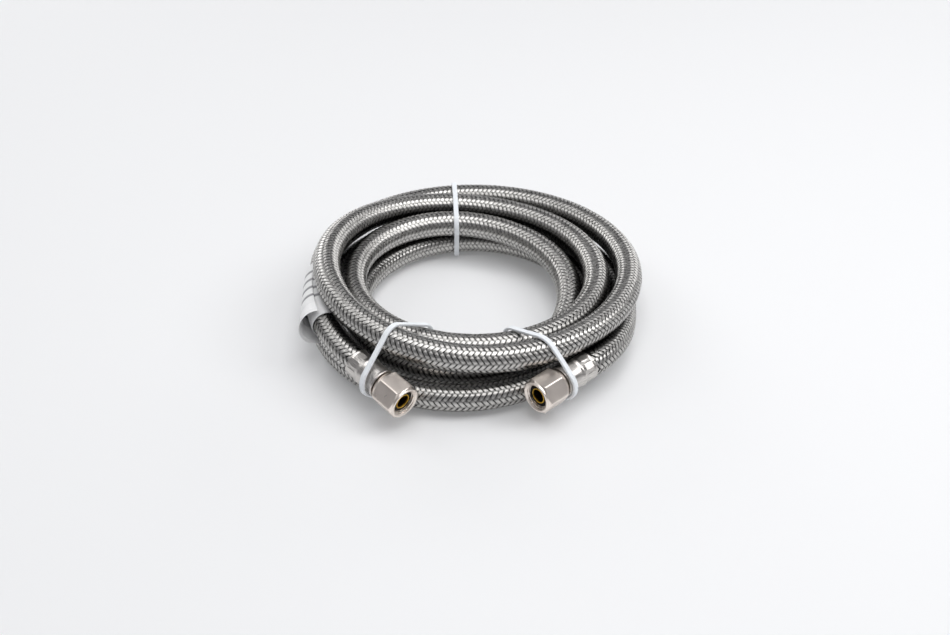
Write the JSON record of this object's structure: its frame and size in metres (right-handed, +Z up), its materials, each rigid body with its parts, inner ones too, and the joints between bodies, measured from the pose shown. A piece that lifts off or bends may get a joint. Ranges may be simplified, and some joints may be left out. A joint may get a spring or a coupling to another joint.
{
  "type": "ice maker hose",
  "caption": "Braided steel water hose for an ice maker, coiled and held with bands, with a swivelling hexagon nut over a rubber cone washer at each end.",
  "frame": {"origin": "on the floor under the middle of the box round the whole coil", "axes": "+Z up, square to the coil; -Y towards the two nuts at the front; +X to the right as seen from the front"},
  "size_m": [0.153, 0.1666, 0.0384],
  "materials": {
    "braided_steel": "woven bright stainless wire",
    "clear_tube": "plain flexible tube",
    "ferrule_steel": "finely brushed, crimped",
    "stem_brass": "machined",
    "black_rubber": "moulded",
    "nickel_plate": "satin nickel plate",
    "white_band": "smooth",
    "white_paper": "uncoated paper"
  },
  "bodies": {
    "hose": {"braid_sleeve": "braided_steel", "inner_tube": "clear_tube", "ferrule_a": "ferrule_steel", "ferrule_b": "ferrule_steel", "hose_stem_a": "stem_brass", "hose_stem_b": "stem_brass", "cone_washer_a": "black_rubber", "cone_washer_b": "black_rubber", "tie_back": "white_band", "tie_left": "white_band", "tie_right": "white_band", "paper_label": "white_paper"},
    "nut_a": {"swivel_nut_a": "nickel_plate"},
    "nut_b": {"swivel_nut_b": "nickel_plate"}
  },
  "joints": [
    {"name": "nut_a_swivel", "type": "hinge", "parent": "hose", "child": "nut_a", "pos_m": [-0.03099, -0.07377, 0.01573], "axis": [0.6907, -0.7078, -0.1478], "continuous": true},
    {"name": "nut_b_swivel", "type": "hinge", "parent": "hose", "child": "nut_b", "pos_m": [0.0311, -0.06936, 0.01409], "axis": [-0.7395, -0.6729, -0.0175], "continuous": true}
  ]
}
